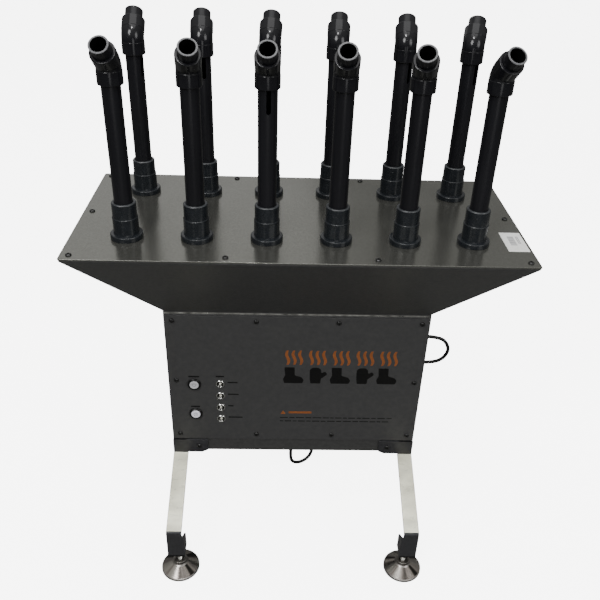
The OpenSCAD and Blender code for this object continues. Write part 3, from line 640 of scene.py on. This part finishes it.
def bend_ring(s, radius, count=64):
    """Ring across the elbow, s along its centreline from the bend: -Z below, 45 degrees forward above."""
    reach = BEND_R * math.tan(math.radians(22.5))
    tilt = math.radians(45) * max(0.0, min(1.0, (s + reach) / (2 * reach)))
    if s <= -reach:
        centre = Vector((0, 0, s))
    elif s >= reach:
        centre = Vector((0, -math.sin(tilt), math.cos(tilt))) * s
    else:
        centre = Vector((0, BEND_R * (math.cos(tilt) - 1), BEND_R * math.sin(tilt) - reach))
    across = Vector((0, math.cos(tilt), math.sin(tilt)))
    return [centre + radius * (math.cos(a) * Vector((1, 0, 0)) + math.sin(a) * across)
            for a in [2 * math.pi * k / count for k in range(count)]]


def elbow_mesh():
    """Two sockets joined by a slimmer bend, with a ring of raised pips and a gate mark on its back."""
    neck = ELBOW_R - 0.45
    socket = PIPE_R + 0.05
    profile = [(-ELBOW_LEG, socket + 0.6), (-ELBOW_LEG, ELBOW_R), (-10.6, ELBOW_R), (-9.9, neck), (9.9, neck),
               (10.6, ELBOW_R), (ELBOW_LEG, ELBOW_R), (ELBOW_LEG, socket + 0.6), (ELBOW_LEG - 0.8, socket),
               (SOCKET_END, socket), (SOCKET_END, BORE_R), (-SOCKET_END, BORE_R), (-SOCKET_END, socket),
               (-ELBOW_LEG + 0.8, socket)]
    radii = [0, 1.5, 0.6, 0.5, 0.5, 0.6, 1.5, 0, 0, 0, 0, 0, 0, 0]
    line = []
    points = fillet(profile, radii, steps=3)
    for a, b in zip(points, points[1:] + points[:1]):
        parts = 8 if abs(a.x - b.x) > 15 and max(abs(a.x), abs(b.x)) < 10.5 else 1
        line += [a.lerp(b, k / parts) for k in range(parts)]
    parts = [loft([bend_ring(p.x, p.y) for p in line], closed=True)]
    for k in range(11):
        turn = math.radians(30 * k - 60)
        reach, size = (7.5, 0.75) if k < 10 else (0.0, 1.5)
        across = math.pi / 2 + reach * math.cos(turn) / neck
        ring_here = bend_ring(reach * math.sin(turn), neck)
        spot = ring_here[round(across / (2 * math.pi) * 64) % 64]
        out = (spot - sum(ring_here, Vector()) / 64).normalized()
        pip = lathe([(size, -0.6), (size, 0.1), (size * 0.8, 0.45), (size * 0.4, 0.65), (0.05, 0.7)], 12, False)
        parts.append((pip, Matrix.Translation(spot) @ out.to_track_quat("Z", "Y").to_matrix().to_4x4()))
    return mesh_of("elbow", together(*parts), elbow_plastic)


def nozzle_mesh():
    """Short pipe cut off square: glossy outside, with a paler sawn end and a bore darkened with painted shade."""
    length = stub_length("outlet_01")
    bm = lathe([(BORE_R, 0), (PIPE_R, 0), (PIPE_R, length - 0.7), (PIPE_R - 0.6, length), (BORE_R + 0.4, length),
                (BORE_R, length - 0.5), (BORE_R, length * 0.5)])
    paint(bm, 1, lambda f: mid(f).z > length - 0.75)
    # Painted shade: the nozzle's bore faces get the darker, duller black.
    paint(bm, 2, lambda f: mid(f).xy.length < BORE_R + 0.1
          and mid(f).z < length - 0.7)
    return mesh_of("nozzle", bm, [pipe_plastic, cut_plastic, bore_painted_shade])


def stub_length(name):
    """How far the outlet pipe reaches beyond where the elbow's socket ends."""
    mouth = Vector(mounts[name]["pos_m"]) / MM
    return (mouth - Vector((port_places[0].x, port_places[0].y, bend_z))).length - SOCKET_END


def outlets():
    elbow, nozzle = elbow_mesh(), nozzle_mesh()
    for i, p in enumerate(port_places, 1):
        name = f"{i:02d}"
        axis = mounts[f"outlet_{name}"]["axis"]
        turn = Matrix.Rotation(math.atan2(axis[0], -axis[1]), 4, "Z")
        place = at(p.x, p.y, bend_z, turn)
        piece(f"elbow_{name}_moulded", elbow, f"outlet_{name}", [f"elbow_{name}"], place)
        along = place @ spin(45, "X") @ at(0, 0, SOCKET_END)
        piece(f"nozzle_{name}_cut", nozzle, f"outlet_{name}", [f"nozzle_{name}"], along)


# ---------- legs and levelling feet ----------

CORNERS = ("front_left", "front_right", "rear_left", "rear_right")
LEG_T, LEG_W, BRACKET_W = 4.0, 34.0, 38.0
FLANGE_L = 36.0
LEG_BEND = 128.0
GUSSET_L, GUSSET_FRONT, GUSSET_REAR = 34.0, 64.0, 38.0      # length, and height at each end


def leg_mesh(mirror):
    """Bent strap: a tab, a sloping strip whose upper face carries a painted highlight, an upright, and a foot
    bracket with a side gusset.
    """
    lo, hi = box("leg_front_left")
    wall = case_lo.y
    low = lo.z
    tab_low = case_lo.z - 4
    slope = (tab_low - LEG_BEND) / (wall - LEG_T - lo.y)
    drop = LEG_T * math.hypot(1, slope) - LEG_T * slope
    outline = fillet([(wall, hi.z), (wall - LEG_T, hi.z), (wall - LEG_T, tab_low), (lo.y, LEG_BEND), (lo.y, low),
                      (lo.y + FLANGE_L, low), (lo.y + FLANGE_L, low + LEG_T), (lo.y + LEG_T, low + LEG_T),
                      (lo.y + LEG_T, LEG_BEND - drop), (wall, tab_low - drop)],
                     [0, 0, 3, 7, 6, 0, 0, 3, 3, 7], steps=6)
    strip = plate(outline, LEG_W, bevel=1.3)
    strip.transform(at(lo.x, 0, 0, SIDE))
    bmesh.ops.recalc_face_normals(strip, faces=strip.faces)
    strip.normal_update()
    # Painted highlight: only the upward-facing faces of the sloping strip get the bright look.
    paint(strip, 1, lambda f: LEG_BEND < mid(f).z < tab_low and f.normal.z > 0.3
          and lo.y + 4 < mid(f).y < wall - 5 and abs(f.normal.x) < 0.3)
    tab = plate(fillet([(0, tab_low), (66, tab_low), (80, tab_low + 7), (80, hi.z), (0, hi.z)],
                       [1, 4, 4, 1, 1]), LEG_T - 0.1, [circle(SCREW_HOLE, 60, case_lo.z + 16, 24)], bevel=0.6)
    upright = plate(rectangle(BRACKET_W, GUSSET_FRONT, BRACKET_W / 2, low + GUSSET_FRONT / 2, radius=1),
                    LEG_T - 0.1, bevel=0.6)
    stud = box("foot_stud_front_left")
    centre = (stud[0] + stud[1]) / 2
    base = plate(rectangle(BRACKET_W, FLANGE_L, BRACKET_W / 2, FLANGE_L / 2, radius=1), LEG_T - 0.1,
                 [circle(6.35, centre.x - lo.x, centre.y - lo.y)], bevel=0.6)
    gusset = plate(fillet([(0, 0), (GUSSET_L, 0), (GUSSET_L, GUSSET_REAR), (0, GUSSET_FRONT)], [1, 2, 2, 1]),
                   LEG_T, [circle(4, GUSSET_L / 2, 30)], bevel=0.6)
    bm = together(strip, (tab, at(lo.x + 0.05, wall - 0.05, 0, FRONT)),
                  (upright, at(lo.x + 0.05, lo.y + LEG_T - 0.05, 0, FRONT)),
                  (base, at(lo.x + 0.05, lo.y + 0.05, low + 0.05)),
                  (gusset, at(lo.x + BRACKET_W - LEG_T, lo.y + 0.1, low + 0.1, SIDE)))
    return mesh_of("leg", bm, [leg_paint, strip_painted_highlight], mirror)


def pad_mesh():
    lo, hi = box("foot_pad_front_left")
    r = (hi.x - lo.x) / 2
    profile = fillet([(r - 3, 0), (r, 0), (r, 6), (r - 2.2, 6.6), (18.4, 20), (15, 22.4), (15, hi.z),
                      (9.2, hi.z), (8.6, hi.z - 2), (8.6, 20)], [0, 0.8, 1, 1, 3, 1.5, 1, 0.6, 0, 0],
                     closed=False, steps=4)
    bm = lathe(profile, 96, closed=False)
    paint(bm, 1, lambda f: mid(f).xy.length > r - 2.6 or mid(f).z > 21)
    return mesh_of("pad", bm, [foot_steel, rim_steel])


def stud_mesh():
    """Ball-ended stud with its thread."""
    top = box("foot_stud_front_left")[1].z
    ball, ball_z, pitch = 8.9, 21.0, 1.75
    turns = [math.radians(8 * k + 4) for k in range(16)]
    profile = [(ball * math.sin(a), ball_z - ball * math.cos(a)) for a in turns]
    profile = [p for p in profile if p[1] < ball_z + 5] + [(5.3, ball_z + 7.6)]
    z = ball_z + 9
    while z < top - 2 * pitch:
        profile += [(5.35, z), (6, z + pitch / 2 - 0.15), (6, z + pitch / 2 + 0.15)]
        z += pitch
    profile += [(5.3, z), (5.3, top - 0.8), (4.5, top)]
    return mesh_of("stud", lathe(profile, 40, closed=False), stud_steel)


def jam_nut():
    flat, height = 9.53, 10.0
    return lathe([(6.05, 0.3), (6.5, 0), (9.2, 0), (flat, 0.9, 6, 10.6), (flat, 1.5, 6), (flat, height - 1.5, 6),
                  (flat, height - 0.9, 6, 10.6), (9.2, height), (6.5, height), (6.05, height - 0.3)], 48)


def legs_and_feet():
    pad, stud = pad_mesh(), stud_mesh()
    nuts = []
    for i, corner in enumerate(CORNERS):
        mirror = Matrix.Diagonal((-1 if i % 2 else 1, -1 if i > 1 else 1, 1, 1))
        piece(f"leg_{corner}_painted", leg_mesh(mirror), "stand", [f"leg_{corner}"])
        lo, hi = box(f"foot_pad_{corner}")
        place = at((lo.x + hi.x) / 2, (lo.y + hi.y) / 2, 0)
        piece(f"foot_pad_{corner}_turned", pad, f"foot_{corner}", [f"foot_pad_{corner}"], place)
        piece(f"foot_stud_{corner}_threaded", stud, f"foot_{corner}", [f"foot_stud_{corner}"], place)
        flange = box(f"leg_{corner}")[0].z
        nuts += [(jam_nut(), at(place.translation.x, place.translation.y, z, spin(30)))
                 for z in (flange - 10, flange + 4)]
    fixed("foot_jam_nuts", "zinc", together(*nuts), stud_steel)


# ---------- controls ----------

def centre_of(node):
    lo, hi = box(node)
    return ((lo.x + hi.x) / 2, (lo.z + hi.z) / 2)


lamp_lo, lamp_hi = box("indicator_bezels")
lamp_x = (lamp_lo.x + lamp_hi.x) / 2
lamp_radius = (lamp_hi.x - lamp_lo.x) / 2
lamp_pitch = (lamp_hi.z - lamp_lo.z - 2 * lamp_radius) / 3
button_places = [centre_of("power_button"), centre_of("timer_button")]
cap_r = (box("power_button")[1].x - box("power_button")[0].x) / 2
lamp_places = [(lamp_x, lamp_hi.z - lamp_radius - i * lamp_pitch) for i in range(4)]


def arc_band(radius, width, start, end, count=24):
    """Outline of a band along an arc, angles in degrees."""
    turns = [math.radians(start + (end - start) * k / count) for k in range(count + 1)]
    outer = [Vector((math.cos(a), math.sin(a))) * (radius + width / 2) for a in turns]
    return outer + [Vector((math.cos(a), math.sin(a))) * (radius - width / 2) for a in reversed(turns)]


def button(name, body, node, look, dish, symbol):
    """Push-button cap, slightly dished, with a plain symbol printed on it."""
    x, z = centre_of(node)
    lo, hi = box(node)
    r, face, back = (hi.x - lo.x) / 2, cover_lo.y - lo.y, cover_lo.y - hi.y
    profile = [(r - 0.5, back), (r, back + 0.5), (r, face - 1.2), (r - 0.2, face - 0.6), (r - 0.7, face - 0.15),
               (r - 1.5, face), (r - 2.4, face), (r * 0.64, face - 0.5 * dish), (r * 0.36, face - 0.85 * dish),
               (0.05, face - dish)]
    cap = mesh_of(name, lathe(profile, 64, closed=False), look)
    piece(f"{name}_cap", cap, body, [node], at(x, cover_lo.y, z, FRONT))
    marks = together(*[(plate(outline, 0.25, holes, bevel=0), UP) for outline, holes in symbol])
    mark = mesh_of(f"{name}_symbol", marks, ink_grey)
    piece(f"{name}_symbol", mark, body, (), at(x, cover_lo.y - face + 0.95 * dish, z, FRONT))


def controls():
    button("power", "power_button", "power_button", button_white, 1.0,
           [(arc_band(3.6, 0.8, 125, 415), []), (rectangle(0.8, 3.4, 0, 3.2), [])])
    button("timer", "timer_button", "timer_button", button_lilac, 0.2,
           [(circle(4.6), [circle(3.9)]), (rectangle(0.7, 3.2, 0, 1.4), []), (rectangle(2.4, 0.7, 1.1, 0), [])])
    ring_shape = lathe(fillet([(cap_r + 0.35, -16), (13, -16), (13, 0), (15, 0), (15, 2), (13.6, 3.5),
                               (cap_r + 1.2, 3.5), (cap_r + 0.35, 2.4)], [0, 0, 0, 0.3, 1.2, 0.8, 0.5, 0.3]))
    switch = plate(rectangle(24, 24, radius=2), 12, bevel=1)
    bezels = [(part, at(x, cover_lo.y, z, FRONT)) for x, z in button_places
              for part in (ring_shape, together((switch, at(0, 0, -28))))]
    fixed("button_bezels", "moulded", together(*bezels), bezel_black)
    dish = lathe(fillet([(3.05, -10), (6.5, -10), (6.5, 0), (9.5, 0), (9.5, 1.6), (8.6, 2.5), (7.8, 2.5),
                         (4.6, -1), (3.05, -1)], [0, 0, 0, 0.2, 0.5, 0.4, 0.6, 1.2, 0]), 48)
    paint(dish, 1, lambda f: mid(f).xy.length < 7.2 and mid(f).z > -3)
    dishes = together(*[(dish, at(x, cover_lo.y, z, FRONT)) for x, z in lamp_places])
    fixed("indicator_bezels", "bright", dishes, [lamp_chrome, lamp_dish])
    lens = lathe([(2.6, -10), (2.95, -9.6), (2.95, 0)] + [(2.95 * math.cos(a), 2.95 * math.sin(a))
                 for a in [math.radians(15 * k) for k in range(1, 6)]] + [(0.05, 2.97)], 32, False)
    lenses = together(*[(lens, at(x, cover_lo.y, z, FRONT)) for x, z in lamp_places])
    piece("indicator_lenses", mesh_of("indicator_lenses", lenses, lamp_clear), "stand",
          ["indicator_lamps"])


# ---------- printed marks ----------

INK = 0.15


def printed(name, outlines, look, place):
    """Marks laid on a face: outlines with their holes."""
    bm = together(*[plate(o, INK, holes, bevel=0) for o, holes in outlines])
    piece(name, mesh_of(name, bm, look, place), "stand")


def boot_outline(x, z, w, h):
    shape = [(0.06, 0), (0.94, 0), (1, 0.2), (0.9, 0.38), (0.56, 0.5), (0.55, 1), (0.06, 1), (0.1, 0.5), (0, 0.25)]
    radii = [0.06, 0.08, 0.12, 0.12, 0.1, 0.05, 0.05, 0.1, 0.15]
    return [Vector((x + p.x * w, z + p.y * h)) for p in fillet(shape, radii)]


def glove_outline(x, z, w, h):
    shape = [(0.2, 0), (0.68, 0), (0.7, 0.3), (1, 0.58), (0.9, 0.78), (0.7, 0.62), (0.7, 1), (0.14, 1), (0.16, 0.3)]
    radii = [0.05, 0.05, 0.1, 0.1, 0.08, 0.05, 0.22, 0.22, 0.1]
    return [Vector((x + p.x * w, z + p.y * h)) for p in fillet(shape, radii)]


def rising_wave(x, z, h, width, sway):
    """A wavy upright stroke, tapered at both ends."""
    left, right = [], []
    for k in range(21):
        t = k / 20
        middle = x + sway * math.sin(2 * math.pi * t)
        half = width / 2 * math.sin(math.pi * (0.12 + 0.76 * t)) ** 0.5
        left.append(Vector((middle - half, z + t * h)))
        right.append(Vector((middle + half, z + t * h)))
    return right + left[::-1]


def cover_marks():
    face = at(0, cover_lo.y + 0.02, 0, FRONT)
    left, step, width, base, height = -28.0, 51.0, 45.0, 408.5, 43.0
    icons, waves = [], []
    for i in range(5):
        shape = boot_outline if i % 2 == 0 else glove_outline
        icons.append((shape(left + i * step, base, width, height), []))
        for k in range(3):
            waves.append((rising_wave(left + i * step + 9 + k * 14, base + 50, 38, 7, 2.6), []))
    printed("cover_pictograms", icons, ink_black, face)
    triangle = fillet([(-32, 320), (-20, 320), (-26, 330.5)], 1.0)
    printed("cover_warm_air_marks", waves + [(triangle, []), (rectangle(52, 6, 12, 325, 2), [])], ink_orange, face)
    lines = []
    for row, end in ((309.5, 228), (299.5, 214)):
        x, k = -33.0, 0
        while x < end - 8:
            length = min(8 + (k * 7 + int(row)) % 13, end - x)
            lines.append((rectangle(length, 2.2, x + length / 2, row, 0.8), []))
            x, k = x + length + 3, k + 1
    bx = button_places[0][0]
    for x, z, w in [(bx, button_places[0][1] + 21, 24), (bx, button_places[1][1] + 20, 20), (lamp_x, 424, 18)]:
        lines.append((rectangle(w, 3.6, x, z, 1.2), []))
    for (x, z), w in zip(lamp_places, (22, 24, 12, 32)):
        lines.append((rectangle(w, 3, x + 16 + w / 2, z + 4, 1), []))
    printed("cover_label_dashes", lines, ink_black, face)


def plate_label():
    """Blank white sticker with plain bars, by the top plate's right edge."""
    place = at(403, -100, plate_hi.z - 0.02)
    printed("plate_label", [(rectangle(40, 78, radius=1.5), [])], label_paper, place)
    bars = [(rectangle(12, 1.2 + (k * 5 % 3) * 0.7, -3, 22 - k * 3.4), []) for k in range(11)]
    bars += [(rectangle(1.4, 30, 8 + 3 * k, 8), []) for k in range(2)]
    printed("plate_label_bars", bars, ink_grey, at(403, -100, plate_hi.z + 0.1))


# ---------- gland, plug, clips and tie ----------

def strain_relief():
    lo, hi = box("strain_relief")
    x, y = (lo.x + hi.x) / 2, (lo.y + hi.y) / 2
    wall, tip = case_lo.z, lo.z
    profile = [(5.0, tip)]
    for k in range(8):
        z = tip + 1 + k * 4.2
        r = 5.2 + 2.6 * k / 8
        profile += [(r, z), (r, z + 2.6), (r - 0.8, z + 3.0), (r - 0.7, z + 3.8)]
    profile += [(8, wall - 5), (10.9, wall - 5), (11.5, wall - 4.3), (11.5, wall), (7.9, wall), (7.9, wall + 2),
                (10.3, wall + 2, 6), (10.3, wall + 7, 6)]
    fixed("strain_relief", "ribbed", lathe(profile, 48, closed=False), clip_plastic, at(x, y, 0))


def power_plug():
    """Moulded plug: a ribbed sleeve, a waisted body, two flat blades and a round earth pin."""
    def section(y, w, h, power=2.0):
        out = []
        for k in range(48):
            a = 2 * math.pi * k / 48
            c, s = math.cos(a), math.sin(a)
            out.append(Vector((w * math.copysign(abs(c) ** (2 / power), c), y,
                               h * math.copysign(abs(s) ** (2 / power), s))))
        return out

    rings = [section(0, 5.0, 5.0)]
    for k in range(6):
        r = 5.4 + 0.55 * k
        rings += [section(0.8 + 4 * k, r, r), section(3.2 + 4 * k, r + 0.3, r + 0.3),
                  section(3.6 + 4 * k, r - 0.6, r - 0.6), section(4.5 + 4 * k, r - 0.5, r - 0.5)]
    rings += [section(26, 10, 10, 2.2), section(31, 12.6, 12.6, 2.4), section(36, 14.4, 14.6, 2.6),
              section(40, 14.6, 15, 2.8), section(46, 13.2, 15, 3), section(52, 13.2, 15, 3),
              section(58, 14.8, 15, 3), section(64, 15, 15, 3), section(66.2, 14.6, 14.6, 3),
              section(67, 13.6, 13.6, 3)]
    blade = plate(fillet([(0, 0), (6.3, 0), (6.3, 17), (0, 17)], [0, 0, 2, 2]), 1.5, [circle(1.6, 3.15, 12.6, 24)],
                  bevel=0.3)
    upright = Matrix(((0, 0, 1, 0), (0, 1, 0, 0), (1, 0, 0, 0), (0, 0, 0, 1)))
    pin = lathe([(2.4, 0), (2.4, 16.5), (2.1, 18), (1.3, 18.8), (0.05, 19)], 24, False)
    metal = together(*[(blade, at(x - 0.75, 67, 0, upright)) for x in (-6.3, 6.3)], (pin, at(0, 67, -6, BACK)))
    paint(metal, 1, lambda f: True)
    place = at(*coil_centre) @ Matrix.Rotation(plug_turn, 4, "Z") @ at(coil_outer, plug_lead, plug_z)
    bm = together(loft(rings), metal)
    return piece("power_plug_moulded", mesh_of("power_plug", bm, [plug_rubber, blade_metal]), "stand",
                 ["power_plug"], place)


def cord_clips():
    arch = [(-7.6, 0), (-7.6, 8)] + [(-7.6 * math.cos(a), 8 + 6.8 * math.sin(a)) for a in
            [math.pi * k / 16 for k in range(1, 16)]] + [(7.6, 8), (7.6, 0)]
    saddle = plate([Vector(p) for p in reversed(arch)], 12, [circle(4.55, 0, 8, 32)], bevel=0.9)
    foot = plate(rectangle(16, 12, radius=1.5), 1.6, bevel=0.5)
    clip = together((saddle, at(0, 0, -6)), (foot, BACK))
    spots = [((53, 185), 0), ((260, 366), 90), ((95, 472), 90), ((-20, 300), 0)]
    bm = together(*[(clip, at(x, case_hi.y, z, spin(turn, "Y"))) for (x, z), turn in spots])
    fixed("cord_clips", "nylon", bm, clip_plastic)


def cord_tie():
    """Hook-and-loop band round the coil."""
    outer = fillet([(39.4, 0), (58.6, 0), (58.6, 6.5), (47.5, 18.3), (39.4, 18.3)], 4.6)
    band = plate(outer, 12, [inset(outer, 0.9)], bevel=0.3, steps=2)
    place = at(*coil_centre) @ spin(250) @ at(0, 6, 0, FRONT)
    return piece("cord_tie", mesh_of("cord_tie", band, clip_plastic, place), "stand")


# ---------- pieces whose CAD shape stays ----------

CARRIED = {"port_locknuts": nut_plastic, "blower_housing": fan_steel, "impeller": wheel_metal,
           "blower_motor": motor_steel, "heater_element": heater_steel, "control_board": board_green}


def carry_over():
    for node, look in CARRIED.items():
        obj = frame["nodes"][node]
        obj.data.materials.clear()
        obj.data.materials.append(look)


# ---------- floor and light ----------

def floor_and_light():
    bm = bmesh.new()
    bmesh.ops.create_grid(bm, x_segments=1, y_segments=1, size=30)
    mesh = bpy.data.meshes.new("floor")
    bm.to_mesh(mesh)
    floor = bpy.data.objects.new("floor", mesh)
    bpy.context.scene.collection.objects.link(floor)
    material = bpy.data.materials.new("floor_pale")
    material.use_nodes = True
    nodes, links = material.node_tree.nodes, material.node_tree.links
    shader = nodes["Principled BSDF"]
    shader.inputs["Roughness"].default_value = 0.9
    shader.inputs["Specular IOR Level"].default_value = 0.1
    path = nodes.new("ShaderNodeLightPath")
    links.new(path.outputs["Is Camera Ray"], shader.inputs["Emission Strength"])
    shader.inputs["Emission Color"].default_value = (6.0, 6.0, 6.0, 1)
    shade = nodes.new("ShaderNodeMix")
    shade.data_type = "RGBA"
    shade.inputs["A"].default_value = (0.16, 0.16, 0.155, 1)
    shade.inputs["B"].default_value = (0.92, 0.92, 0.92, 1)
    links.new(path.outputs["Is Camera Ray"], shade.inputs["Factor"])
    links.new(shade.outputs["Result"], shader.inputs["Base Color"])
    mesh.materials.append(material)

    world = bpy.data.worlds.new("studio")
    bpy.context.scene.world = world
    world.use_nodes = True
    nodes, links = world.node_tree.nodes, world.node_tree.links
    path = nodes.new("ShaderNodeLightPath")
    sky = nodes.new("ShaderNodeMix")
    sky.data_type = "RGBA"
    way = nodes.new("ShaderNodeTexCoord")
    split = nodes.new("ShaderNodeSeparateXYZ")
    height = nodes.new("ShaderNodeValToRGB")
    height.color_ramp.elements[0].position = 0.15
    height.color_ramp.elements[0].color = (0.16, 0.16, 0.16, 1)
    height.color_ramp.elements[1].position = 0.75
    height.color_ramp.elements[1].color = (0.62, 0.62, 0.59, 1)
    links.new(way.outputs["Generated"], split.inputs["Vector"])
    links.new(split.outputs["Z"], height.inputs["Fac"])
    links.new(height.outputs["Color"], sky.inputs["A"])
    sky.inputs["B"].default_value = (6.0, 6.0, 6.0, 1)
    links.new(path.outputs["Is Camera Ray"], sky.inputs["Factor"])
    links.new(sky.outputs["Result"], nodes["Background"].inputs["Color"])

    for name, place, aim, size, power in [
            ("key", (-1.4, -2.3, 3.0), (0, 0, 0.6), 1.3, 66),
            ("fill", (2.2, -2.0, 2.2), (0, 0, 0.6), 1.5, 30),
            ("front", (0.2, -2.6, 0.9), (0, 0, 0.15), 1.2, 9),
            ("top", (0, -0.3, 3.6), (0, 0, 0.5), 2.6, 40),
            ("spark", (-0.25, -0.9, 2.9), (0, 0, 0.9), 0.22, 12),
            ("rear", (-0.9, 2.8, 2.4), (0, 0, 0.7), 2.6, 9)]:
        data = bpy.data.lights.new(name, "AREA")
        data.shape = "DISK"
        data.size = size
        data.energy = power
        lamp = bpy.data.objects.new(name, data)
        lamp.location = place
        lamp.rotation_euler = (Vector(aim) - Vector(place)).to_track_quat("-Z", "Y").to_euler()
        bpy.context.scene.collection.objects.link(lamp)


# ---------- build ----------

add_camera()
floor_and_light()
cord = mains_cord()
plug = power_plug()
tie = cord_tie()
strain_relief()
cord_clips()
top_plate()
plenum_hopper()
blower_box()
front_cover()
button_head_screws()
port_adapters()
bend_z = drying_pipes()
outlets()
legs_and_feet()
controls()
cover_marks()
plate_label()
carry_over()
